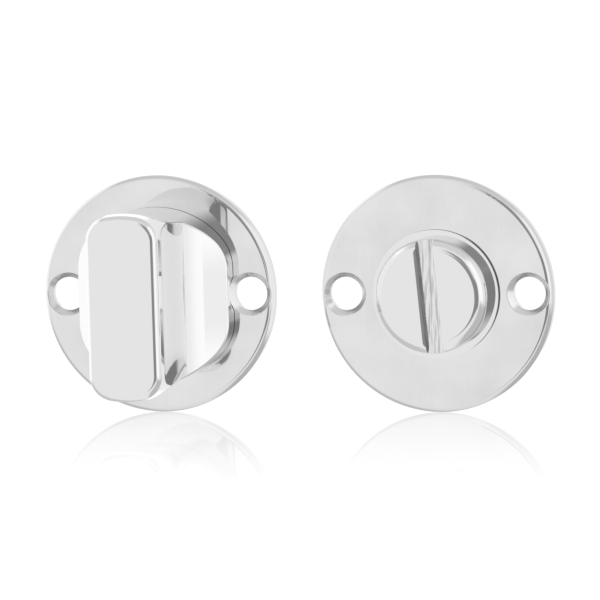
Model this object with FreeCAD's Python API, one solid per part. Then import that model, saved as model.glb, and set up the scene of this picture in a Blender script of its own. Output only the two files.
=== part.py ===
# Bathroom thumb turn lock: a thumb turn and a coin release, each on a round screw-on rose.
# Millimetres. +Z is up, +X runs from the turn to the release, and the faces look towards -Y.
# Both roses lie with their backs on y = 0, the door's face. The origin is the middle of the
# turn rose's back. "Height" below means distance in front of a rose's face.
import FreeCAD, Part
import math
import os

# Roses
ROSE_D = 48.0
ROSE_GAP = 9.8             # between the two roses' rims
ROSE_T = 2.4
ROSE_EDGE_R = 1.2          # polished round on the front rim
SCREW_INSET = 5.0          # screw centre to the rim, so the screws are 38 apart
SCREW_HOLE_D = 6.7
SCREW_SINK_D = 8.8
SCREW_SINK_ANGLE = 90.0
SINK_EDGE_R = 0.2          # polished round on the countersink's edge
RECESS_DEPTH = 0.8         # recess in the back for the bush's flange

# Spindle, neck and bearing, alike on both halves
SPINDLE_W = 6.0            # across flats
SPINDLE_REACH = 38.0       # behind the door's face
SPINDLE_CHAMFER = 0.6
SOCKET_CLEARANCE = 0.05    # each side of the spindle
TURN_SOCKET_DEPTH = 18.0   # from the neck's end
RELEASE_SOCKET_DEPTH = 12.0
NECK_WALL = 2.2            # over the socket's corners
NECK_REACH = 9.5           # behind the door's face
RUN_CLEARANCE = 0.05       # between turning and fixed faces
BUSH_WALL = 1.5
BUSH_FLANGE_W = 2.2
BUSH_FLANGE_GAP = 0.3      # from the flange's edge to the recess
BUSH_PROUD = 0.2           # bush end in front of the rose, carries the turn's shoulder

# Retaining washers and clip
WASHER_GAP = 0.1           # round the neck
THRUST_T = 0.5
THRUST_W = 3.0
WAVE_T = 0.3
WAVE_W = 2.4
WAVE_HEIGHT = 0.9          # working height, crest to trough
WAVE_GAP = 0.02            # at the crests
WAVE_COUNT = 3
WAVE_POINTS = 8            # spline points per wave
GROOVE_DEPTH = 0.5
GROOVE_PLAY = 0.1          # groove width over the clip's
CLIP_T = 1.0
CLIP_W = 1.8
CLIP_FIT = 0.02
CLIP_OPENING = 50.0        # degrees between the lugs' centres
CLIP_LUG_D = 2.8
CLIP_LUG_HOLE_D = 1.2

# Cross pin
PIN_D = 2.0
PIN_SINK = 0.3             # pin ends below the neck's surface
PIN_FIT = 0.02
PIN_FROM_END = 3.2         # pin centre to the neck's end

# Thumb turn: round base with side flats, flared ends, a scoop on each side of the grip
TURN_HEIGHT = 27.3
BASE_D = 35.2
BASE_FLAT_CUT = 2.0        # depth of each side flat, clears the screws
BASE_BLEND_R = 9.5
RELIEF_R = 8.2             # hollow in each side flat, lets a screwdriver pass
RELIEF_DEPTH = 0.78
RELIEF_HEIGHT = 2.8
RIM_HEIGHT = 4.4
FLARE_HEIGHT = 12.0        # the ends flare from here
FLARE_D = 39.6             # the ends' flare, carried on to the front face
FRONT_D = 37.4             # over the ends at the front face
GRIP_W = 14.8              # at the front face
GRIP_CORNER_R = 5.0
GRIP_DRAFT = 4.0           # degrees, the grip widens towards the base
GRIP_EDGE_R = 1.3
LIP_HEIGHT = 24.4          # front edge of the scoop
SCOOP_EDGE_R = 0.5         # round the scoops and along the flare's crest
KNEE_W = 16.6              # over both scoops where their walls meet their ramps
KNEE_HEIGHT = 10.3
WALL_HOLLOW = 0.7          # depth of the scoop wall's curve
RAMP_HOLLOW = 0.45         # depth of the ramp's curve

# Coin release knob
KNOB_D = 23.2
KNOB_HEIGHT = 6.0
KNOB_EDGE_R = 2.2
FLANGE_D = 26.0
FLANGE_T = 0.6
SLOT_W = 3.6
SLOT_DEPTH = 1.5
SLOT_LIP_W = 0.5
SLOT_LIP_DROP = 0.12
SLOT_LEAN = 4.5            # degrees, top towards -X

EDGE_TOLERANCE = 0.1       # for finding an edge by its height

V = FreeCAD.Vector
Y_AXIS = V(0, 1, 0)
ORIGIN = V(0, 0, 0)

# Sizes that follow
release_x = ROSE_D + ROSE_GAP
screw_x = ROSE_D / 2 - SCREW_INSET
neck_r = (SPINDLE_W / 2 + SOCKET_CLEARANCE) * math.sqrt(2) + NECK_WALL
bush_r = neck_r + RUN_CLEARANCE + BUSH_WALL
flange_r = bush_r + BUSH_FLANGE_W
recess_r = flange_r + BUSH_FLANGE_GAP
washer_bore_r = neck_r + WASHER_GAP
groove_r = neck_r - GROOVE_DEPTH
foot = BUSH_PROUD + RUN_CLEARANCE
thrust_y = RUN_CLEARANCE
wave_y = thrust_y + THRUST_T
groove_y = wave_y + WAVE_HEIGHT
groove_end_y = groove_y + CLIP_T + GROOVE_PLAY
clip_y = groove_end_y - CLIP_T
spindle_y = NECK_REACH - TURN_SOCKET_DEPTH
pin_y = NECK_REACH - PIN_FROM_END


def y_at(height):
    """The y of a plane at a height in front of the rose's face."""
    return -(ROSE_T + height)


def line(start, end):
    return Part.LineSegment(start, end).toShape()


def arc(start, middle, end):
    return Part.Arc(start, middle, end).toShape()


def revolved(edges):
    """Turn a closed profile in the XY plane about the Y axis."""
    return Part.Face(Part.Wire(edges)).revolve(ORIGIN, Y_AXIS, 360)


def polygon_edges(points):
    """Edges through (radius, y) points, in order."""
    corners = [V(radius, y, 0) for radius, y in points]
    return [line(a, b) for a, b in zip(corners, corners[1:])]


def cylinder(radius, y_low, y_high, x=0.0, z=0.0):
    return Part.makeCylinder(radius, y_high - y_low, V(x, y_low, z), Y_AXIS)


def ring(inner_r, outer_r, y_low, y_high):
    return cylinder(outer_r, y_low, y_high).cut(cylinder(inner_r, y_low, y_high))


def square_bar(width, y_low, y_high):
    return Part.makeBox(width, y_high - y_low, width, V(-width / 2, y_low, -width / 2))


# Rose and bearing

def make_rose():
    """Round plate: rounded front rim, bore, back recess, two countersunk screw holes."""
    rim_r = ROSE_D / 2
    front = -ROSE_T
    web = -RECESS_DEPTH
    flat_r = rim_r - ROSE_EDGE_R
    side_y = front + ROSE_EDGE_R
    bend = ROSE_EDGE_R * math.sqrt(0.5)
    edges = polygon_edges([(rim_r, side_y), (rim_r, 0), (recess_r, 0), (recess_r, web),
                           (bush_r, web), (bush_r, front), (flat_r, front)])
    edges.append(arc(V(flat_r, front, 0), V(flat_r + bend, side_y - bend, 0), V(rim_r, side_y, 0)))
    rose = revolved(edges)
    hole_r = SCREW_HOLE_D / 2
    sink_r = SCREW_SINK_D / 2
    sink_depth = (sink_r - hole_r) / math.tan(math.radians(SCREW_SINK_ANGLE / 2))
    for x in (-screw_x, screw_x):
        rose = rose.cut(cylinder(hole_r, front, 0, x))
        rose = rose.cut(Part.makeCone(sink_r, hole_r, sink_depth, V(x, front, 0), Y_AXIS))
    mouths = [edge for edge in rose.Edges if edge.BoundBox.YMax < front + EDGE_TOLERANCE
              and abs(edge.BoundBox.Center.x) > screw_x - hole_r]
    return rose.makeFillet(SINK_EDGE_R, mouths)


def make_bush():
    """Flanged bush: flange in the rose's recess, barrel a little proud of the rose's face."""
    bore_r = neck_r + RUN_CLEARANCE
    web = -RECESS_DEPTH
    end = y_at(BUSH_PROUD)
    return revolved(polygon_edges([(bore_r, end), (bush_r, end), (bush_r, web), (flange_r, web),
                                   (flange_r, 0), (bore_r, 0), (bore_r, end)]))


# Spindle, washers and clip

def make_neck():
    """Neck from the foot of a turning piece through the bush, with the clip's groove."""
    neck = cylinder(neck_r, y_at(foot), NECK_REACH)
    return neck.cut(ring(groove_r, neck_r, groove_y, groove_end_y))


def cut_socket(piece, depth):
    return piece.cut(square_bar(SPINDLE_W + 2 * SOCKET_CLEARANCE, NECK_REACH - depth, NECK_REACH))


def pin_bar(radius, length):
    return Part.makeCylinder(radius, length, V(-length / 2, pin_y, 0), V(1, 0, 0))


def make_spindle():
    """Square bar from the socket's floor, chamfered at its free end, drilled for the pin."""
    bar = square_bar(SPINDLE_W, spindle_y, SPINDLE_REACH)
    free_end = [edge for edge in bar.Edges if edge.BoundBox.YMin > SPINDLE_REACH - SPINDLE_CHAMFER]
    bar = bar.makeChamfer(SPINDLE_CHAMFER, free_end)
    return bar.cut(pin_bar(PIN_D / 2 + PIN_FIT, 2 * SPINDLE_W))


def make_pin():
    return pin_bar(PIN_D / 2, 2 * (neck_r - PIN_SINK))


def make_thrust_washer():
    return ring(washer_bore_r, washer_bore_r + THRUST_W, thrust_y, thrust_y + THRUST_T)


def make_wave_washer():
    """Spring washer: a flat ring bent into waves that reach from the thrust washer to the clip."""
    middle = wave_y + WAVE_HEIGHT / 2
    swing = (WAVE_HEIGHT - WAVE_T) / 2 - WAVE_GAP
    steps = WAVE_POINTS * WAVE_COUNT

    def rim(radius, offset):
        points = []
        for step in range(steps):
            turn = 2 * math.pi * step / steps
            y = middle + offset + swing * math.sin(WAVE_COUNT * turn)
            points.append(V(radius * math.cos(turn), y, radius * math.sin(turn)))
        curve = Part.BSplineCurve()
        curve.interpolate(points, PeriodicFlag=True)
        return curve.toShape()

    inner = [rim(washer_bore_r, offset) for offset in (-WAVE_T / 2, WAVE_T / 2)]
    outer = [rim(washer_bore_r + WAVE_W, offset) for offset in (-WAVE_T / 2, WAVE_T / 2)]
    pairs = [(inner[0], outer[0]), (outer[0], outer[1]), (outer[1], inner[1]), (inner[1], inner[0])]
    shell = Part.makeShell([Part.makeRuledSurface(a, b) for a, b in pairs])
    shell.sewShape()
    washer = Part.makeSolid(shell)
    if washer.Volume < 0:
        washer.reverse()
    return washer


def make_circlip():
    """External retaining ring, open at the top, with two drilled lugs."""
    inner_r = groove_r + CLIP_FIT
    outer_r = inner_r + CLIP_W
    lug_r = CLIP_LUG_D / 2
    clip_end = clip_y + CLIP_T
    clip = ring(inner_r, outer_r, clip_y, clip_end)
    half = math.radians(CLIP_OPENING / 2)
    reach = 2 * outer_r
    corner = V(reach * math.sin(half), clip_y, reach * math.cos(half))
    mouth = Part.makePolygon([V(0, clip_y, 0), corner, V(-corner.x, clip_y, corner.z), V(0, clip_y, 0)])
    clip = clip.cut(Part.Face(mouth).extrude(V(0, CLIP_T, 0)))
    lug_at = inner_r + lug_r
    for side in (-1, 1):
        x = side * lug_at * math.sin(half)
        z = lug_at * math.cos(half)
        lug = cylinder(lug_r, clip_y, clip_end, x, z).cut(cylinder(inner_r, clip_y, clip_end))
        clip = clip.fuse(lug).cut(cylinder(CLIP_LUG_HOLE_D / 2, clip_y, clip_end, x, z))
    return clip.removeSplitter()


# Thumb turn

def flatted_circle(height, radius, flat, blend_r):
    """A circle with two side flats and blended corners, at a height."""
    blend_x = flat - blend_r
    blend_z = math.sqrt((radius - blend_r) ** 2 - blend_x ** 2)
    angle = math.atan2(blend_z, blend_x)
    join_x = radius * math.cos(angle)
    join_z = radius * math.sin(angle)
    if blend_x < 0:
        raise ValueError("the corner's radius is more than half the width between the flats")
    bend_x = blend_x + blend_r * math.cos(angle / 2)
    bend_z = blend_z + blend_r * math.sin(angle / 2)

    def at(x, z):
        return V(x, y_at(height), z)

    edges = []
    for side in (1, -1):
        edges.append(line(at(side * flat, -side * blend_z), at(side * flat, side * blend_z)))
        edges.append(arc(at(side * flat, side * blend_z), at(side * bend_x, side * bend_z),
                         at(side * join_x, side * join_z)))
        edges.append(arc(at(side * join_x, side * join_z), at(0, side * radius),
                         at(-side * join_x, side * join_z)))
        edges.append(arc(at(-side * join_x, side * join_z), at(-side * bend_x, side * bend_z),
                         at(-side * flat, side * blend_z)))
    return Part.Wire(edges)


def hollow_arc(start, end, depth):
    """Arc between two points of the scoop's section, sunk into the body by a depth."""
    chord = end - start
    inward = V(-chord.y, chord.x, 0)
    inward.normalize()
    return arc(start, (start + end) * 0.5 + inward * depth, end)


def make_scoop():
    """Cutter for the +X scoop: a hollow wall from the lip to the knee, a ramp out to the rim."""
    lip = V(grip_half_width(LIP_HEIGHT), y_at(LIP_HEIGHT), 0)
    knee = V(KNEE_W / 2, y_at(KNEE_HEIGHT), 0)
    rim = V(BASE_D / 2 - BASE_FLAT_CUT, y_at(RIM_HEIGHT), 0)
    top = y_at(2 * TURN_HEIGHT)
    edges = [hollow_arc(lip, knee, WALL_HOLLOW), hollow_arc(knee, rim, RAMP_HOLLOW),
             line(rim, V(BASE_D, rim.y, 0)), line(V(BASE_D, rim.y, 0), V(BASE_D, top, 0)),
             line(V(BASE_D, top, 0), V(lip.x, top, 0)), line(V(lip.x, top, 0), lip)]
    cutter = Part.Face(Part.Wire(edges)).extrude(V(0, 0, 2 * BASE_D))
    cutter.translate(V(0, 0, -BASE_D))
    return cutter


def grip_half_width(height):
    """Half width of the drafted grip at a height."""
    return GRIP_W / 2 + (TURN_HEIGHT - height) * math.tan(math.radians(GRIP_DRAFT))


def make_grip():
    """Drafted block that bounds the grip: rounded corners, widening towards the base."""
    outlines = []
    for height in (TURN_HEIGHT, FLARE_HEIGHT):
        wider = grip_half_width(height) - GRIP_W / 2
        outlines.append(flatted_circle(height, FRONT_D / 2 + wider, GRIP_W / 2 + wider,
                                       GRIP_CORNER_R + wider))
    return Part.makeLoft(outlines, True, True)


def make_ends():
    """The grip's round ends: a revolved block that leaves the base upright and flares to the front."""
    base_r = BASE_D / 2
    rise = TURN_HEIGHT - FLARE_HEIGHT
    out = FLARE_D / 2 - base_r
    bend_r = (out ** 2 + rise ** 2) / (2 * out)
    middle = base_r + bend_r - math.sqrt(bend_r ** 2 - (rise / 2) ** 2)
    edges = polygon_edges([(base_r, y_at(FLARE_HEIGHT)), (0, y_at(FLARE_HEIGHT)), (0, y_at(TURN_HEIGHT)),
                           (base_r + out, y_at(TURN_HEIGHT))])
    edges.append(arc(V(base_r + out, y_at(TURN_HEIGHT), 0), V(middle, y_at(FLARE_HEIGHT + rise / 2), 0),
                     V(base_r, y_at(FLARE_HEIGHT), 0)))
    return revolved(edges)


def make_turn():
    """Thumb turn: base, flared grip, a scoop on each side, soft edges, neck, socket and pin hole."""
    base_r = BASE_D / 2
    flat = base_r - BASE_FLAT_CUT
    outline = flatted_circle(foot, base_r, flat, BASE_BLEND_R)
    base = Part.Face(outline).extrude(V(0, foot - FLARE_HEIGHT, 0))
    body = make_ends().common(make_grip()).fuse(base)
    relief = cylinder(RELIEF_R, y_at(RELIEF_HEIGHT), y_at(foot), flat - RELIEF_DEPTH + RELIEF_R)
    for cutter in (make_scoop(), relief):
        for degrees in (0, 180):
            body = body.cut(turned(cutter, degrees))
    body = body.removeSplitter()
    body = body.makeFillet(GRIP_EDGE_R, front_edges(body))
    body = body.makeFillet(SCOOP_EDGE_R, scoop_edges(body))
    turn = cut_socket(body.fuse(make_neck()), TURN_SOCKET_DEPTH)
    return turn.cut(pin_bar(PIN_D / 2 + PIN_FIT, 2 * neck_r))


def turned(shape, degrees):
    """A copy turned about the lock's axis."""
    copy = shape.copy()
    copy.rotate(ORIGIN, Y_AXIS, degrees)
    return copy


def edge_heights(edge):
    box = edge.BoundBox
    return -ROSE_T - box.YMax, -ROSE_T - box.YMin


def front_edges(body):
    """Edges of the grip's front face."""
    return [edge for edge in body.Edges if edge_heights(edge)[0] > TURN_HEIGHT - EDGE_TOLERANCE]


def scoop_edges(body):
    """Edges round the scoops and along the flare's crest, without the knees and the level seams."""
    found = []
    for edge in body.Edges:
        low, high = edge_heights(edge)
        is_level = high - low < EDGE_TOLERANCE
        is_seam = is_level and min(abs(low - KNEE_HEIGHT), abs(low - FLARE_HEIGHT)) < EDGE_TOLERANCE
        if low > RIM_HEIGHT - EDGE_TOLERANCE and high < LIP_HEIGHT + EDGE_TOLERANCE and not is_seam:
            found.append(edge)
    return found


# Coin release

def make_slot():
    """Cutter for the coin slot, with shallow bevelled lips where it opens in the face."""
    half = SLOT_W / 2
    floor = KNOB_HEIGHT - SLOT_DEPTH
    lip = KNOB_HEIGHT - SLOT_LIP_DROP
    mouth = half + 2 * SLOT_LIP_W
    rim = KNOB_HEIGHT + SLOT_LIP_DROP
    top = 2 * KNOB_HEIGHT

    def at(x, height):
        return V(x, y_at(height), -KNOB_D)

    def flank(side):
        """Wall, bevelled lip and mouth on one side."""
        return [line(at(side * half, floor), at(side * half, lip)),
                line(at(side * half, lip), at(side * mouth, rim)),
                line(at(side * mouth, rim), at(side * mouth, top))]

    edges = [line(at(-half, floor), at(half, floor)), *flank(1),
             line(at(mouth, top), at(-mouth, top)), *reversed(flank(-1))]
    slot = Part.Face(Part.Wire(edges)).extrude(V(0, 0, 2 * KNOB_D))
    return turned(slot, -SLOT_LEAN)


def make_knob():
    """Coin release: round cap with a soft edge, a thin flange under it, coin slot, neck and socket."""
    cap_r = KNOB_D / 2
    flange_r = FLANGE_D / 2
    under = foot + FLANGE_T
    face_r = cap_r - KNOB_EDGE_R
    side_top = KNOB_HEIGHT - KNOB_EDGE_R
    bend = KNOB_EDGE_R * math.sqrt(0.5)
    edges = polygon_edges([(face_r, y_at(KNOB_HEIGHT)), (0, y_at(KNOB_HEIGHT)), (0, y_at(foot)),
                           (flange_r, y_at(foot)), (flange_r, y_at(under)), (cap_r, y_at(under)),
                           (cap_r, y_at(side_top))])
    edges.append(arc(V(cap_r, y_at(side_top), 0), V(face_r + bend, y_at(side_top + bend), 0),
                     V(face_r, y_at(KNOB_HEIGHT), 0)))
    cap = revolved(edges).cut(make_slot())
    return cut_socket(cap.fuse(make_neck()), RELEASE_SOCKET_DEPTH)


# Nodes

def place(shape, x):
    moved = shape.copy()
    moved.translate(V(x, 0, 0))
    return moved


nodes = {
    "thumb_turn": make_turn(),
    "turn_spindle": make_spindle(),
    "spindle_pin": make_pin(),
    "release_knob": place(make_knob(), release_x),
}
for half, x in (("turn", 0), ("release", release_x)):
    nodes[half + "_rose"] = place(make_rose(), x)
    nodes[half + "_bush"] = place(make_bush(), x)
    nodes[half + "_thrust_washer"] = place(make_thrust_washer(), x)
    nodes[half + "_wave_washer"] = place(make_wave_washer(), x)
    nodes[half + "_circlip"] = place(make_circlip(), x)

os.makedirs("parts", exist_ok=True)
for name, shape in nodes.items():
    shape.exportStep("parts/" + name + ".step")
    print(name, "solids", len(shape.Solids), "valid", shape.isValid(), "mm3", round(shape.Volume, 1))
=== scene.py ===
"""Looks of a bathroom thumb turn lock: polished chrome, nylon and plated steel on a white sheet."""
import math

import bpy
from bpy.props import FloatProperty, FloatVectorProperty, PointerProperty
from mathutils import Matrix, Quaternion, Vector


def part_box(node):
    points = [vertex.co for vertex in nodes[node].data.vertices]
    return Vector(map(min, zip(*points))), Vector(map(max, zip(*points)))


bl_info = {
    "name": "Bathroom lock looks",
    "version": (1, 0, 0),
    "blender": (4, 5, 0),
    "location": "View3D > Sidebar > Lock",
    "description": "Finishes for a thumb turn and coin release on round roses, with their photo stage",
    "category": "Object",
}

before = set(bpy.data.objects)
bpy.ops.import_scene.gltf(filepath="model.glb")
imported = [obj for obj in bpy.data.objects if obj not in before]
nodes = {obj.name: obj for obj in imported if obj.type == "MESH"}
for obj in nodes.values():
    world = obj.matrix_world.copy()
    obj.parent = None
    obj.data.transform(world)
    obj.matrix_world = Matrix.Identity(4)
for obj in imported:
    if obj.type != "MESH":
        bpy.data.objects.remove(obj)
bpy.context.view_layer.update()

MM = 0.001
HALVES = ("turn", "release")

# The values that a noise pattern mostly keeps between
NOISE_LOW = 0.3
NOISE_HIGH = 0.7

# The pattern values, or facings, between which a mark comes in
HAIRLINE_RANGE = (0.7, 0.78)
DIM_RANGE = (0.4, 0.85)
PIT_RANGE = (0.02, 0.04)
BACK_RANGE = (0.6, 0.9)
SCORE_RANGE = (0.4, 0.7)
STAIN_RANGE = (0.45, 0.7)
GRAZE_RANGE = (0.65, 0.88)
SLOT_FLOOR_FACING = -0.95

# Shares of a mark, and factors on a colour or a roughness
GRAIN_SHARE = 0.15
PIT_SHARE = 0.3
STAIN_SHARE = 0.6
GLOSS_SWING = (0.6, 1.6)
PALE_NYLON = 1.08
DULL_STEEL = 0.82
PALE_CRYSTAL = 1.7
NYLON_IOR = 1.53
NYLON_SCATTER = 0.2
HAIRLINE_LEAN = (0.35, 0.2, 0.6)

# Roughness where a surface is smoothest and where it is dullest
BACK_ROUGHNESS = (0.3, 0.5)
NECK_ROUGHNESS = (0.2, 0.34)
SLOT_ROUGHNESS = (0.08, 0.2)
NYLON_ROUGHNESS = (0.38, 0.55)
DRAWN_ROUGHNESS = (0.18, 0.38)
ZINC_ROUGHNESS = (0.22, 0.4)
PHOSPHATE_ROUGHNESS = (0.4, 0.62)
SINK_ROUGHNESS = 0.2
RIM_ROUGHNESS = 0.07
HAIRLINE_ROUGHNESS = 0.1

# Sizes and heights of the marks, in mm; the finest are drawn wider than they are, to show
GLOSS_CLOUD = 4
ROSE_CLOUD = 16
PIT_SPACING = 5
RIM_START = 1.1
RIM_FULL = 0.6
SAND_SIZE = 0.5
SAND_HEIGHT = 0.02
RING_HEIGHT = 0.006
STREAK_WIDTH = 0.35
STREAK_LENGTH = 5
STREAK_HEIGHT = 0.006
SLOT_FLOOR_MARGIN = 0.2
NYLON_CLOUD = 5
MOULD_GRAIN = 0.3
MOULD_HEIGHT = 0.008
NYLON_DEPTH = 0.5
DRAWN_WIDTH = 0.25
DRAWN_LENGTH = 15
DRAWN_HEIGHT = 0.012
STAIN_SIZE = 3
ZINC_GRAIN = 0.3
ZINC_HEIGHT = 0.006
CRYSTAL_SIZE = 0.2
CRYSTAL_HEIGHT = 0.01

# Panels of the light tent: azimuth, elevation, half width, half height and edge in degrees, strength
LEFT_SOFTBOX = (-125, 0, 57, 70, 6, 1.25)
RIGHT_SOFTBOX = (58, 0, 20, 70, 11, 1.25)
GREY_WALL = (128, 0, 22, 70, 9, 0.88)
DARK_OPENING = (10, -4, 20, 12, 3, 0.31)
DARK_UPPER_OPENING = (9, 18, 11, 13, 5, 0.36)
LEFT_GROUND = (-115, -47, 45, 30, 7, 0.7)
RIGHT_GROUND = (98, -47, 55, 30, 7, 0.62)
CEILING = (0, 90, 42, 42, 8, 0.8)
TENT = (LEFT_SOFTBOX, RIGHT_SOFTBOX, GREY_WALL, DARK_OPENING, DARK_UPPER_OPENING, LEFT_GROUND,
        RIGHT_GROUND, CEILING)

# Cards in mm: two opposite corners, the axis and sense that each faces, strength; their edges' fade
HALVES_APART = ((33.2, -9, -21), (33.2, 16, 30), (-1, 0, 0), 1.15)
TURN_APART = ((24.6, -34, -9), (24.6, 16, 30), (1, 0, 0), 1.05)
DIFFUSER = ((33.2, -40, -16), (33.2, -20, 10), (-1, 0, 0), 1.09)
SIDE_FILL = ((23, -60, -16), (34, -60, 16), (0, 1, 0), 1.0)
CARD_FADE = 9
CARDS = {"Card between the halves": HALVES_APART, "Card beside the turn": TURN_APART,
         "Diffuser beside the turn": DIFFUSER, "Card before the turn": SIDE_FILL}

# The white sheet: half size in metres, fade of the mirror behind the roses in mm, shares of light
SHEET_HALF = 4.0
MIRROR_FADE = 12
SHEET_DIFFUSE = (0.15, 0.15, 0.15, 1)
SHEET_GLOW = (0.9, 0.9, 0.9, 1)
SHEET_ROUGHNESS = 0.01
SHEET_CORNERS = ((-1, -1), (1, -1), (1, 1), (-1, 1))
WHITE = (1, 1, 1, 1)

# The camera's clipping, in metres
CLIP_NEAR = 0.1
CLIP_FAR = 20

rose_low, rose_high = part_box("turn_rose")
knob_low, knob_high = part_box("release_knob")
release_x = (knob_low.x + knob_high.x) / 2
rose_face = rose_low.y


def linear(code):
    """An sRGB hex colour as linear red, green and blue."""
    shares = [int(code[i:i + 2], 16) / 255 for i in (1, 3, 5)]
    return tuple(s / 12.92 if s <= 0.04045 else ((s + 0.055) / 1.055) ** 2.4 for s in shares)


def add(tree, kind, inputs=None, **settings):
    """Add a node with its settings; inputs are values, or sockets to link from, by name or place."""
    node = tree.nodes.new(kind)
    for name, value in settings.items():
        setattr(node, name, value)
    for name, value in (inputs or {}).items():
        socket = node.inputs[name]
        if isinstance(value, bpy.types.NodeSocket):
            tree.links.new(value, socket)
        else:
            socket.default_value = value
    return node


def new_material(name):
    """An empty node material and its tree."""
    material = bpy.data.materials.get(name) or bpy.data.materials.new(name)
    material.use_nodes = True
    material.node_tree.nodes.clear()
    return material, material.node_tree


def wear(node_name, material):
    """Give a solid its finish in every material slot."""
    for slot in nodes[node_name].material_slots:
        slot.material = material


def looks_settings():
    return bpy.context.scene.lock_looks


def stage_settings():
    return bpy.context.scene.lock_stage


def tint(name, description, code):
    """A colour property with an sRGB default."""
    return FloatVectorProperty(name=name, description=description, subtype="COLOR", size=3, min=0, max=1,
                               default=linear(code))


def length(name, description, millimetres):
    """A length property with a default in millimetres."""
    return FloatProperty(name=name, description=description, unit="LENGTH", precision=5, min=1e-7,
                         default=millimetres * MM)


def share(name, description, default):
    """A property between 0 and 1."""
    return FloatProperty(name=name, description=description, subtype="FACTOR", min=0, max=1, default=default)


def angle(name, description, degrees):
    """An angle property with a default in degrees."""
    return FloatProperty(name=name, description=description, subtype="ANGLE", default=math.radians(degrees))


class LockLooks(bpy.types.PropertyGroup):
    """Colours and marks of the lock's finishes."""

    chrome: tint("Chrome", "Tint of the polished plate", "#E4E4E4")
    chrome_roughness: share("Chrome roughness", "Blur of the polished plate", 0.035)
    buff_wave: length("Buffing wave", "Spacing of the faint waves that hand buffing leaves", 7)
    buff_height: length("Buffing height", "Height of those waves", 0.006)
    hairline_width: length("Hairline width", "Width of the polishing hairlines as drawn", 0.3)
    hairline_length: length("Hairline length", "Length of the polishing hairlines", 9)
    chrome_dim: tint("Dim chrome", "Tint of the roses' plate where the grain lies dense", "#D6D6D6")
    grain_width: length("Grain width", "Width of the roses' polishing grain as drawn", 0.35)
    grain_length: length("Grain length", "Length of the roses' polishing grain", 9)
    rim: tint("Rim", "Tint of the roses' rim, which is buffed less than the face", "#DADADA")
    screw_x: length("Screw offset", "Screw centres from a rose's axis", 19)
    sink_radius: length("Sink radius", "Outer radius of the countersinks", 4.45)
    back: tint("Back", "Tint of the thin plate on the backs", "#A9ABAD")
    tool_pitch: length("Tool pitch", "Spacing of the turning marks as drawn", 0.35)
    slot_depth: length("Slot depth", "Depth of the coin slot, where the milled floor begins", 1.5)
    slot_lean: angle("Slot lean", "Lean of the coin slot, top towards the turn", 4.5)
    scored: tint("Scored chrome", "Tint of the cutter's scores on the slot floor", "#B8B8B8")
    nylon: tint("Nylon", "Natural colour of the bushes", "#E4DFD0")
    steel: tint("Steel", "Tint of the drawn spindle", "#A6A8AB")
    zinc: tint("Zinc", "Tint of the plated washers and pin", "#B5B9BF")
    zinc_stain: tint("Zinc stain", "Tint of the passivation where it lies thick", "#C4BBA2")
    spring: tint("Spring steel", "Phosphated colour of the circlips", "#3A3937")


class LockStage(bpy.types.PropertyGroup):
    """View and floor of the picture."""

    azimuth: angle("Azimuth", "Camera's turn towards +X from the front", 15.4)
    elevation: angle("Elevation", "Camera's height above the level", 6.4)
    roll: angle("Roll", "Camera's lean, which lifts the picture's right side", 1.75)
    distance: length("Distance", "Camera to the middle of the roses", 3500)
    view_width: length("View width", "Width that the picture spans at the roses", 120.6)
    aim_x: length("Aim", "Middle of the picture, from the turn's axis", 28.73)
    aim_drop: length("Aim drop", "Middle of the picture below the axes", 1.5)
    floor_mirror: share("Floor mirror", "Share of the sheet's light that it mirrors at the roses' foot", 0.4)
    mirror_reach: length("Mirror reach", "How far in front of the roses the mirroring fades out", 125)


def chrome_plate(tree):
    """Surface position, roughness and height in metres of buffed chrome plate.

    The eye sees a near mirror: reflections bend a little in waves that the mop left, and the
    gloss varies in faint clouds with a few hairlines.
    """
    looks = looks_settings()
    least, most = GLOSS_SWING
    faint, clear = HAIRLINE_RANGE
    place = add(tree, "ShaderNodeTexCoord").outputs["Object"]
    clouds = add(tree, "ShaderNodeTexNoise", {"Vector": place, "Scale": 1 / (GLOSS_CLOUD * MM), "Detail": 3})
    gloss = add(tree, "ShaderNodeMapRange", {
        "Value": clouds.outputs[0], "From Min": NOISE_LOW, "From Max": NOISE_HIGH,
        "To Min": looks.chrome_roughness * least, "To Max": looks.chrome_roughness * most})
    # Real hairlines are some hundredths of a millimetre wide; these are drawn wider to show
    drawn_out = add(tree, "ShaderNodeMapping", {
        "Vector": place, "Rotation": HAIRLINE_LEAN,
        "Scale": (1 / looks.hairline_width, 1 / looks.hairline_width, 1 / looks.hairline_length)})
    lines = add(tree, "ShaderNodeTexNoise", {"Vector": drawn_out.outputs[0], "Scale": 1, "Detail": 1})
    hairline = add(tree, "ShaderNodeMapRange", {
        "Value": lines.outputs[0], "From Min": faint, "From Max": clear, "To Max": HAIRLINE_ROUGHNESS})
    roughness = add(tree, "ShaderNodeMath", {0: gloss.outputs[0], 1: hairline.outputs[0]})
    waves = add(tree, "ShaderNodeTexNoise", {"Vector": place, "Scale": 1 / looks.buff_wave, "Detail": 1})
    height = add(tree, "ShaderNodeMath", {0: waves.outputs[0], 1: looks.buff_height}, operation="MULTIPLY")
    return place, roughness.outputs[0], height.outputs[0]


def grain(tree, place, scale, detail, dullness, depth):
    """A fine grain: its value, the roughness that it gives and its height in metres."""
    smooth, dull = dullness
    value = add(tree, "ShaderNodeTexNoise", {"Vector": place, "Scale": scale, "Detail": detail}).outputs[0]
    roughness = add(tree, "ShaderNodeMapRange", {
        "Value": value, "From Min": NOISE_LOW, "From Max": NOISE_HIGH, "To Min": smooth, "To Max": dull})
    height = add(tree, "ShaderNodeMath", {0: value, 1: depth * MM}, operation="MULTIPLY")
    return value, roughness.outputs[0], height.outputs[0]


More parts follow.
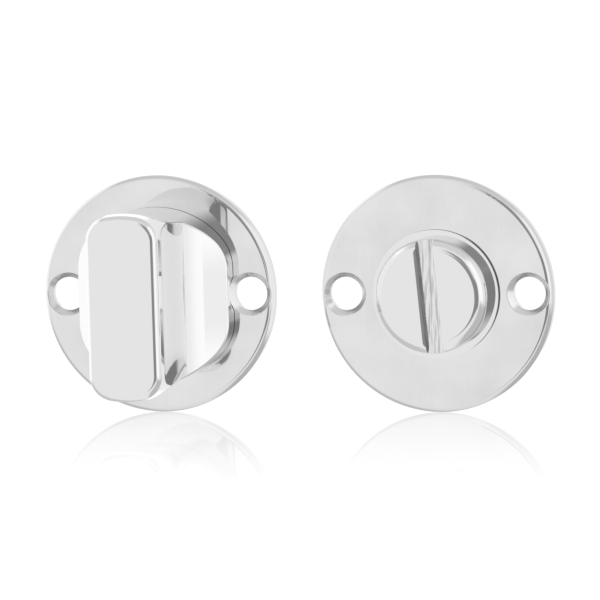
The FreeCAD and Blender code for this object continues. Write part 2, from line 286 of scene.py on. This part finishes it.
def turned_neck(tree, place, roughness, height):
    """Colour, roughness and height of a knob: polished in front of the rose, left as turned behind.

    The neck is duller and greyer than the knob, with fine rings round it.
    """
    looks = looks_settings()
    smooth, dull = NECK_ROUGHNESS
    along = add(tree, "ShaderNodeSeparateXYZ", {0: place}).outputs["Y"]
    neck = add(tree, "ShaderNodeMath", {0: along, 1: rose_face}, operation="GREATER_THAN").outputs[0]
    turn = add(tree, "ShaderNodeMath", {0: along, 1: 2 * math.pi / looks.tool_pitch}, operation="MULTIPLY")
    wave = add(tree, "ShaderNodeMath", {0: turn.outputs[0]}, operation="SINE")
    rings = add(tree, "ShaderNodeMapRange", {"Value": wave.outputs[0], "From Min": -1}).outputs[0]
    rough_neck = add(tree, "ShaderNodeMapRange", {"Value": rings, "To Min": smooth, "To Max": dull})
    ring_height = add(tree, "ShaderNodeMath", {0: rings, 1: RING_HEIGHT * MM}, operation="MULTIPLY")
    colour = add(tree, "ShaderNodeMix", {0: neck, 6: (*looks.chrome, 1), 7: (*looks.back, 1)},
                 data_type="RGBA")
    roughness = add(tree, "ShaderNodeMix", {0: neck, 2: roughness, 3: rough_neck.outputs[0]})
    height = add(tree, "ShaderNodeMix", {0: neck, 2: height, 3: ring_height.outputs[0]})
    return colour.outputs[2], roughness.outputs[0], height.outputs[0]


def finish_metal(tree, colour, roughness, height):
    """Close a metal's tree with its shader."""
    relief = add(tree, "ShaderNodeBump", {"Strength": 1, "Distance": 1, "Height": height})
    shader = add(tree, "ShaderNodeBsdfPrincipled", {
        "Base Color": colour, "Metallic": 1, "Roughness": roughness, "Normal": relief.outputs[0]})
    add(tree, "ShaderNodeOutputMaterial", {"Surface": shader.outputs[0]})


class LOCK_OT_roses(bpy.types.Operator):
    """Polish the roses' faces in chrome and leave their backs satin"""

    bl_idname = "lock.roses"
    bl_label = "Roses"

    def execute(self, context):
        for half, axis_x in (("turn", 0), ("release", release_x)):
            wear(half + "_rose", self.rose_plate(half, axis_x))
        return {"FINISHED"}

    def rose_plate(self, half, axis_x):
        """Chrome over an upright polishing grain, with faint clouds and a few pits; satin behind."""
        looks = looks_settings()
        side, rear = BACK_RANGE
        material, tree = new_material("Polished chrome plate on the %s rose" % half)
        place, roughness, height = chrome_plate(tree)
        face = self.face_colour(tree, place)
        spot = add(tree, "ShaderNodeSeparateXYZ", {0: place})
        from_axis = add(tree, "ShaderNodeMath", {0: spot.outputs["X"], 1: axis_x}, operation="SUBTRACT")
        # The drill leaves the countersinks a little duller than the face
        out = add(tree, "ShaderNodeMath", {0: from_axis.outputs[0]}, operation="ABSOLUTE")
        off = add(tree, "ShaderNodeMath", {0: out.outputs[0], 1: looks.screw_x}, operation="SUBTRACT")
        from_screw = add(tree, "ShaderNodeCombineXYZ", {"X": off.outputs[0], "Z": spot.outputs["Z"]})
        reach = add(tree, "ShaderNodeVectorMath", {0: from_screw.outputs[0]}, operation="LENGTH")
        drilled = add(tree, "ShaderNodeMath", {0: reach.outputs["Value"], 1: looks.sink_radius},
                      operation="LESS_THAN")
        roughness = add(tree, "ShaderNodeMix", {0: drilled.outputs[0], 2: roughness, 3: SINK_ROUGHNESS})
        # The rim is buffed less than the face
        from_middle = add(tree, "ShaderNodeCombineXYZ", {"X": from_axis.outputs[0], "Z": spot.outputs["Z"]})
        radius = add(tree, "ShaderNodeVectorMath", {0: from_middle.outputs[0]}, operation="LENGTH")
        rim = add(tree, "ShaderNodeMapRange", {
            "Value": radius.outputs["Value"], "From Min": rose_high.z - RIM_START * MM,
            "From Max": rose_high.z - RIM_FULL * MM}).outputs[0]
        face = add(tree, "ShaderNodeMix", {0: rim, 6: face, 7: (*looks.rim, 1)}, data_type="RGBA")
        roughness = add(tree, "ShaderNodeMix", {0: rim, 2: roughness.outputs[0], 3: RIM_ROUGHNESS})
        # The back is as cast under a thin plate: grey, with a fine sandy grain
        facing = add(tree, "ShaderNodeTexCoord").outputs["Normal"]
        backward = add(tree, "ShaderNodeSeparateXYZ", {0: facing}).outputs["Y"]
        back = add(tree, "ShaderNodeMapRange", {
            "Value": backward, "From Min": side, "From Max": rear}).outputs[0]
        _, rough_back, sand_height = grain(tree, place, 1 / (SAND_SIZE * MM), 4, BACK_ROUGHNESS, SAND_HEIGHT)
        colour = add(tree, "ShaderNodeMix", {0: back, 6: face.outputs[2], 7: (*looks.back, 1)},
                     data_type="RGBA")
        roughness = add(tree, "ShaderNodeMix", {0: back, 2: roughness.outputs[0], 3: rough_back})
        height = add(tree, "ShaderNodeMix", {0: back, 2: height, 3: sand_height})
        finish_metal(tree, colour.outputs[2], roughness.outputs[0], height.outputs[0])
        return material

    def face_colour(self, tree, place):
        """Tint of the face: dimmer where the grain and the clouds lie dense, grey in the pits."""
        looks = looks_settings()
        thin, dense = DIM_RANGE
        deep, edge = PIT_RANGE
        # The belt's real grain is some hundredths of a millimetre wide; it is drawn wider to show
        drawn_out = add(tree, "ShaderNodeMapping", {
            "Vector": place, "Scale": (1 / looks.grain_width, 1 / looks.grain_width, 1 / looks.grain_length)})
        lines = add(tree, "ShaderNodeTexNoise", {"Vector": drawn_out.outputs[0], "Scale": 1, "Detail": 3})
        cloud = add(tree, "ShaderNodeTexNoise", {
            "Vector": place, "Scale": 1 / (ROSE_CLOUD * MM), "Detail": 3, "Roughness": 0.6})
        tone = add(tree, "ShaderNodeMath", {0: lines.outputs[0], 1: GRAIN_SHARE}, operation="MULTIPLY")
        tone = add(tree, "ShaderNodeMath", {0: cloud.outputs[0], 1: tone.outputs[0]})
        dim = add(tree, "ShaderNodeMapRange", {"Value": tone.outputs[0], "From Min": thin, "From Max": dense})
        pit = add(tree, "ShaderNodeTexVoronoi", {"Vector": place, "Scale": 1 / (PIT_SPACING * MM)})
        pitted = add(tree, "ShaderNodeMapRange", {
            "Value": pit.outputs["Distance"], "From Min": deep, "From Max": edge,
            "To Min": PIT_SHARE, "To Max": 0})
        face = add(tree, "ShaderNodeMix", {
            0: dim.outputs[0], 6: (*looks.chrome, 1), 7: (*looks.chrome_dim, 1)}, data_type="RGBA")
        face = add(tree, "ShaderNodeMix", {
            0: pitted.outputs[0], 6: face.outputs[2], 7: (*looks.back, 1)}, data_type="RGBA")
        return face.outputs[2]


class LOCK_OT_turn(bpy.types.Operator):
    """Polish the thumb turn in chrome, with its neck left as turned"""

    bl_idname = "lock.turn"
    bl_label = "Thumb turn"

    def execute(self, context):
        material, tree = new_material("Polished chrome plate on a cast turn")
        finish_metal(tree, *turned_neck(tree, *chrome_plate(tree)))
        wear("thumb_turn", material)
        return {"FINISHED"}


class LOCK_OT_release(bpy.types.Operator):
    """Polish the coin release in chrome, with a milled slot floor and its neck left as turned"""

    bl_idname = "lock.release"
    bl_label = "Coin release"

    def execute(self, context):
        looks = looks_settings()
        faint, clear = SCORE_RANGE
        material, tree = new_material("Polished chrome plate on a turned knob")
        place, roughness, height = chrome_plate(tree)
        colour, roughness, height = turned_neck(tree, place, roughness, height)
        milled = self.slot_floor(tree, place)
        # The cutter leaves streaks along the slot that blur what its floor mirrors
        drawn_out = add(tree, "ShaderNodeMapping", {
            "Vector": place, "Rotation": (0, -looks.slot_lean, 0),
            "Scale": (1 / (STREAK_WIDTH * MM), 1 / (STREAK_WIDTH * MM), 1 / (STREAK_LENGTH * MM))})
        streaks, rough_floor, streak_height = grain(
            tree, drawn_out.outputs[0], 1, 2, SLOT_ROUGHNESS, STREAK_HEIGHT)
        scored = add(tree, "ShaderNodeMapRange", {"Value": streaks, "From Min": faint, "From Max": clear})
        tone = add(tree, "ShaderNodeMix", {
            0: scored.outputs[0], 6: (*looks.chrome, 1), 7: (*looks.scored, 1)}, data_type="RGBA")
        colour = add(tree, "ShaderNodeMix", {0: milled, 6: colour, 7: tone.outputs[2]}, data_type="RGBA")
        roughness = add(tree, "ShaderNodeMix", {0: milled, 2: roughness, 3: rough_floor})
        height = add(tree, "ShaderNodeMix", {0: milled, 2: height, 3: streak_height})
        finish_metal(tree, colour.outputs[2], roughness.outputs[0], height.outputs[0])
        wear("release_knob", material)
        return {"FINISHED"}

    def slot_floor(self, tree, place):
        """A mask that is 1 on the floor of the coin slot, which lies level and below the face."""
        floor_y = knob_low.y + looks_settings().slot_depth
        along = add(tree, "ShaderNodeSeparateXYZ", {0: place}).outputs["Y"]
        facing = add(tree, "ShaderNodeTexCoord").outputs["Normal"]
        forward = add(tree, "ShaderNodeSeparateXYZ", {0: facing}).outputs["Y"]
        level = add(tree, "ShaderNodeMath", {0: forward, 1: SLOT_FLOOR_FACING}, operation="LESS_THAN")
        deep = add(tree, "ShaderNodeMath", {0: along, 1: floor_y, 2: SLOT_FLOOR_MARGIN * MM},
                   operation="COMPARE")
        return add(tree, "ShaderNodeMath", {0: level.outputs[0], 1: deep.outputs[0]},
                   operation="MULTIPLY").outputs[0]


class LOCK_OT_bushes(bpy.types.Operator):
    """Mould the bushes in natural nylon"""

    bl_idname = "lock.bushes"
    bl_label = "Bushes"

    def execute(self, context):
        looks = looks_settings()
        # Cream and slightly milky, with the satin grain of the mould
        material, tree = new_material("Moulded natural nylon")
        place = add(tree, "ShaderNodeTexCoord").outputs["Object"]
        cloud = add(tree, "ShaderNodeTexNoise", {
            "Vector": place, "Scale": 1 / (NYLON_CLOUD * MM), "Detail": 2})
        paler = tuple(min(1, part * PALE_NYLON) for part in looks.nylon)
        colour = add(tree, "ShaderNodeMix", {
            0: cloud.outputs[0], 6: (*looks.nylon, 1), 7: (*paler, 1)}, data_type="RGBA")
        _, roughness, height = grain(tree, place, 1 / (MOULD_GRAIN * MM), 3, NYLON_ROUGHNESS, MOULD_HEIGHT)
        relief = add(tree, "ShaderNodeBump", {"Strength": 1, "Distance": 1, "Height": height})
        shader = add(tree, "ShaderNodeBsdfPrincipled", {
            "Base Color": colour.outputs[2], "Roughness": roughness, "IOR": NYLON_IOR,
            "Subsurface Weight": NYLON_SCATTER, "Subsurface Scale": NYLON_DEPTH * MM,
            "Normal": relief.outputs[0]})
        add(tree, "ShaderNodeOutputMaterial", {"Surface": shader.outputs[0]})
        for half in HALVES:
            wear(half + "_bush", material)
        return {"FINISHED"}


class LOCK_OT_spindle(bpy.types.Operator):
    """Draw the square spindle in bright steel"""

    bl_idname = "lock.spindle"
    bl_label = "Spindle"

    def execute(self, context):
        looks = looks_settings()
        # Grey with fine bright and dull lines along the bar, as the die left it
        material, tree = new_material("Drawn bright steel")
        place = add(tree, "ShaderNodeTexCoord").outputs["Object"]
        drawn_out = add(tree, "ShaderNodeMapping", {
            "Vector": place,
            "Scale": (1 / (DRAWN_WIDTH * MM), 1 / (DRAWN_LENGTH * MM), 1 / (DRAWN_WIDTH * MM))})
        lines, roughness, height = grain(tree, drawn_out.outputs[0], 1, 3, DRAWN_ROUGHNESS, DRAWN_HEIGHT)
        duller = tuple(part * DULL_STEEL for part in looks.steel)
        colour = add(tree, "ShaderNodeMix", {0: lines, 6: (*looks.steel, 1), 7: (*duller, 1)},
                     data_type="RGBA")
        finish_metal(tree, colour.outputs[2], roughness, height)
        wear("turn_spindle", material)
        return {"FINISHED"}


class LOCK_OT_small_parts(bpy.types.Operator):
    """Plate the pin and washers in zinc and phosphate the circlips"""

    bl_idname = "lock.small_parts"
    bl_label = "Pin, washers and circlips"

    def execute(self, context):
        zinc = self.zinc_plate()
        wear("spindle_pin", zinc)
        phosphate = self.phosphated_steel()
        for half in HALVES:
            wear(half + "_thrust_washer", zinc)
            wear(half + "_wave_washer", zinc)
            wear(half + "_circlip", phosphate)
        return {"FINISHED"}

    def zinc_plate(self):
        """Satin bluish grey with straw patches, where the passivation lies thicker."""
        looks = looks_settings()
        material, tree = new_material("Passivated zinc plate on stamped steel")
        place = add(tree, "ShaderNodeTexCoord").outputs["Object"]
        thin, thick = STAIN_RANGE
        stain = add(tree, "ShaderNodeTexNoise", {
            "Vector": place, "Scale": 1 / (STAIN_SIZE * MM), "Detail": 2})
        patch = add(tree, "ShaderNodeMapRange", {
            "Value": stain.outputs[0], "From Min": thin, "From Max": thick, "To Max": STAIN_SHARE})
        colour = add(tree, "ShaderNodeMix", {
            0: patch.outputs[0], 6: (*looks.zinc, 1), 7: (*looks.zinc_stain, 1)}, data_type="RGBA")
        _, roughness, height = grain(tree, place, 1 / (ZINC_GRAIN * MM), 3, ZINC_ROUGHNESS, ZINC_HEIGHT)
        finish_metal(tree, colour.outputs[2], roughness, height)
        return material

    def phosphated_steel(self):
        """Dark grey and nearly matt, with the fine crystals of the coating and a trace of oil."""
        looks = looks_settings()
        material, tree = new_material("Phosphated spring steel")
        place = add(tree, "ShaderNodeTexCoord").outputs["Object"]
        crystal, roughness, height = grain(
            tree, place, 1 / (CRYSTAL_SIZE * MM), 4, PHOSPHATE_ROUGHNESS, CRYSTAL_HEIGHT)
        paler = tuple(part * PALE_CRYSTAL for part in looks.spring)
        colour = add(tree, "ShaderNodeMix", {0: crystal, 6: (*looks.spring, 1), 7: (*paler, 1)},
                     data_type="RGBA")
        finish_metal(tree, colour.outputs[2], roughness, height)
        return material


class LOCK_OT_stage(bpy.types.Operator):
    """Set up the white sheet, the light tent and the camera"""

    bl_idname = "lock.stage"
    bl_label = "Stage"

    def execute(self, context):
        self.make_world(context.scene)
        self.make_floor(context.scene)
        for name, card in CARDS.items():
            self.make_card(context.scene, name, *card)
        self.make_camera(context.scene)
        context.scene.view_settings.view_transform = "Standard"
        return {"FINISHED"}

    def make_world(self, scene):
        """White all round, with softboxes, a grey wall, dimmer ground and a dark opening in front."""
        world = bpy.data.worlds.new("Light tent")
        scene.world = world
        world.use_nodes = True
        tree = world.node_tree
        tree.nodes.clear()
        direction = add(tree, "ShaderNodeTexCoord").outputs["Generated"]
        level = 1.0
        for panel in TENT:
            level = self.lay_panel(tree, direction, level, *panel)
        seen = add(tree, "ShaderNodeLightPath").outputs["Is Camera Ray"]
        strength = add(tree, "ShaderNodeMix", {0: seen, 2: level, 3: 1.0})
        light = add(tree, "ShaderNodeBackground", {"Color": WHITE, "Strength": strength.outputs[0]})
        add(tree, "ShaderNodeOutputWorld", {"Surface": light.outputs[0]})

    def lay_panel(self, tree, direction, level, azimuth, elevation, half_width, half_height, soft, strength):
        """Lay a soft-edged rectangle of its own strength over the light level so far."""
        turn = add(tree, "ShaderNodeVectorRotate", {
            "Vector": direction, "Rotation": (0, 0, math.radians(-azimuth))}, rotation_type="EULER_XYZ")
        tilt = add(tree, "ShaderNodeVectorRotate", {
            "Vector": turn.outputs[0], "Rotation": (math.radians(elevation), 0, 0)},
            rotation_type="EULER_XYZ")
        local = add(tree, "ShaderNodeSeparateXYZ", {0: tilt.outputs[0]})
        toward = add(tree, "ShaderNodeMath", {0: local.outputs["Y"], 1: -1}, operation="MULTIPLY").outputs[0]
        inside = add(tree, "ShaderNodeMath", {0: toward, 1: 0}, operation="GREATER_THAN")
        for side, half in (("X", half_width), ("Z", half_height)):
            off = add(tree, "ShaderNodeMath", {0: local.outputs[side], 1: toward}, operation="ARCTAN2")
            size = add(tree, "ShaderNodeMath", {0: off.outputs[0]}, operation="ABSOLUTE")
            edge = add(tree, "ShaderNodeMapRange", {
                "Value": size.outputs[0], "From Min": math.radians(half - soft),
                "From Max": math.radians(half + soft), "To Min": 1, "To Max": 0},
                interpolation_type="SMOOTHSTEP")
            inside = add(tree, "ShaderNodeMath", {0: inside.outputs[0], 1: edge.outputs[0]},
                         operation="MULTIPLY")
        return add(tree, "ShaderNodeMix", {0: inside.outputs[0], 2: level, 3: strength}).outputs[0]

    def make_sheet(self, scene, name, corners, material):
        """A flat four-cornered object of the stage."""
        mesh = bpy.data.meshes.new(name)
        mesh.from_pydata(corners, [], [(0, 1, 2, 3)])
        mesh.materials.append(material)
        sheet = bpy.data.objects.new(name, mesh)
        scene.collection.objects.link(sheet)
        return sheet

    def make_floor(self, scene):
        """A white sheet under the roses that mirrors their feet a little."""
        stage = stage_settings()
        steep, low = GRAZE_RANGE
        # Smooth white laminate: even white, and at a low look a faint mirror image of what stands on it
        material, tree = new_material("Gloss white laminate")
        place = add(tree, "ShaderNodeTexCoord").outputs["Object"]
        along = add(tree, "ShaderNodeSeparateXYZ", {0: place}).outputs["Y"]
        before = add(tree, "ShaderNodeMapRange", {
            "Value": along, "From Min": -stage.mirror_reach, "From Max": 0, "To Max": stage.floor_mirror})
        behind = add(tree, "ShaderNodeMapRange", {
            "Value": along, "From Max": MIRROR_FADE * MM, "To Min": 1, "To Max": 0})
        near = add(tree, "ShaderNodeMath", {0: before.outputs[0], 1: behind.outputs[0]}, operation="MULTIPLY")
        slant = add(tree, "ShaderNodeLayerWeight", {"Blend": 0.5}).outputs["Facing"]
        graze = add(tree, "ShaderNodeMapRange", {"Value": slant, "From Min": steep, "From Max": low})
        mirror = add(tree, "ShaderNodeMath", {0: near.outputs[0], 1: graze.outputs[0]}, operation="MULTIPLY")
        matt = add(tree, "ShaderNodeBsdfDiffuse", {"Color": SHEET_DIFFUSE})
        seen = add(tree, "ShaderNodeLightPath").outputs["Is Camera Ray"]
        glow = add(tree, "ShaderNodeEmission", {"Color": SHEET_GLOW, "Strength": seen})
        white = add(tree, "ShaderNodeAddShader", {0: matt.outputs[0], 1: glow.outputs[0]})
        gloss = add(tree, "ShaderNodeBsdfGlossy", {"Color": WHITE, "Roughness": SHEET_ROUGHNESS})
        both = add(tree, "ShaderNodeMixShader", {
            0: mirror.outputs[0], 1: white.outputs[0], 2: gloss.outputs[0]})
        under = add(tree, "ShaderNodeNewGeometry").outputs["Backfacing"]
        clear = add(tree, "ShaderNodeBsdfTransparent")
        surface = add(tree, "ShaderNodeMixShader", {0: under, 1: both.outputs[0], 2: clear.outputs[0]})
        add(tree, "ShaderNodeOutputMaterial", {"Surface": surface.outputs[0]})
        corners = [(x * SHEET_HALF, y * SHEET_HALF, rose_low.z) for x, y in SHEET_CORNERS]
        floor = self.make_sheet(scene, "White sheet", corners, material)
        floor.visible_glossy = False

    def make_card(self, scene, name, low, high, facing, strength):
        """A lit white card that fades out above and below; only the chrome in front of it sees it."""
        low = Vector(low) * MM
        high = Vector(high) * MM
        fade = CARD_FADE * MM
        material, tree = new_material("Lit white paper, " + name.lower())
        under = add(tree, "ShaderNodeNewGeometry").outputs["Backfacing"]
        glow = add(tree, "ShaderNodeEmission", {"Color": WHITE, "Strength": strength})
        clear = add(tree, "ShaderNodeBsdfTransparent")
        front = add(tree, "ShaderNodeMixShader", {0: under, 1: glow.outputs[0], 2: clear.outputs[0]})
        place = add(tree, "ShaderNodeTexCoord").outputs["Object"]
        upright = add(tree, "ShaderNodeSeparateXYZ", {0: place}).outputs["Z"]
        foot = add(tree, "ShaderNodeMapRange", {
            "Value": upright, "From Min": low.z, "From Max": low.z + fade}, interpolation_type="SMOOTHSTEP")
        head = add(tree, "ShaderNodeMapRange", {
            "Value": upright, "From Min": high.z - fade, "From Max": high.z, "To Min": 1, "To Max": 0},
            interpolation_type="SMOOTHSTEP")
        solid = add(tree, "ShaderNodeMath", {0: foot.outputs[0], 1: head.outputs[0]}, operation="MULTIPLY")
        surface = add(tree, "ShaderNodeMixShader", {
            0: solid.outputs[0], 1: clear.outputs[0], 2: front.outputs[0]})
        add(tree, "ShaderNodeOutputMaterial", {"Surface": surface.outputs[0]})
        corners = [low, Vector((high.x, high.y, low.z)), high, Vector((low.x, low.y, high.z))]
        across = (corners[1] - corners[0]).cross(corners[3] - corners[0])
        if across.dot(Vector(facing)) < 0:
            corners.reverse()
        card = self.make_sheet(scene, name, corners, material)
        card.visible_camera = False
        card.visible_diffuse = False
        card.visible_shadow = False

    def make_camera(self, scene):
        """A long lens from a little right of the front and above."""
        stage = stage_settings()
        data = bpy.data.cameras.new("Camera")
        camera = bpy.data.objects.new("Camera", data)
        scene.collection.objects.link(camera)
        level = math.cos(stage.elevation)
        back = Vector((math.sin(stage.azimuth) * level, -math.cos(stage.azimuth) * level,
                       math.sin(stage.elevation)))
        aim = Vector((stage.aim_x, 0, -stage.aim_drop))
        camera.location = aim + back * stage.distance
        upright = (-back).to_track_quat("-Z", "Y")
        camera.rotation_euler = (upright @ Quaternion((0, 0, 1), -stage.roll)).to_euler()
        data.lens = data.sensor_width * stage.distance / stage.view_width
        data.clip_start = CLIP_NEAR
        data.clip_end = CLIP_FAR
        scene.camera = camera


class LOCK_PT_looks(bpy.types.Panel):
    """The lock's finishes and stage"""

    bl_label = "Bathroom lock"
    bl_idname = "LOCK_PT_looks"
    bl_space_type = "VIEW_3D"
    bl_region_type = "UI"
    bl_category = "Lock"

    def draw(self, context):
        for step in STEPS:
            self.layout.operator(step.bl_idname)


STEPS = (LOCK_OT_roses, LOCK_OT_turn, LOCK_OT_release, LOCK_OT_bushes, LOCK_OT_spindle,
         LOCK_OT_small_parts, LOCK_OT_stage)
CLASSES = (LockLooks, LockStage, *STEPS, LOCK_PT_looks)


def register():
    for item in CLASSES:
        bpy.utils.register_class(item)
    bpy.types.Scene.lock_looks = PointerProperty(type=LockLooks)
    bpy.types.Scene.lock_stage = PointerProperty(type=LockStage)


def unregister():
    del bpy.types.Scene.lock_stage
    del bpy.types.Scene.lock_looks
    for item in reversed(CLASSES):
        bpy.utils.unregister_class(item)


def main():
    register()
    bpy.ops.lock.roses()
    bpy.ops.lock.turn()
    bpy.ops.lock.release()
    bpy.ops.lock.bushes()
    bpy.ops.lock.spindle()
    bpy.ops.lock.small_parts()
    bpy.ops.lock.stage()


if __name__ == "__main__":
    main()
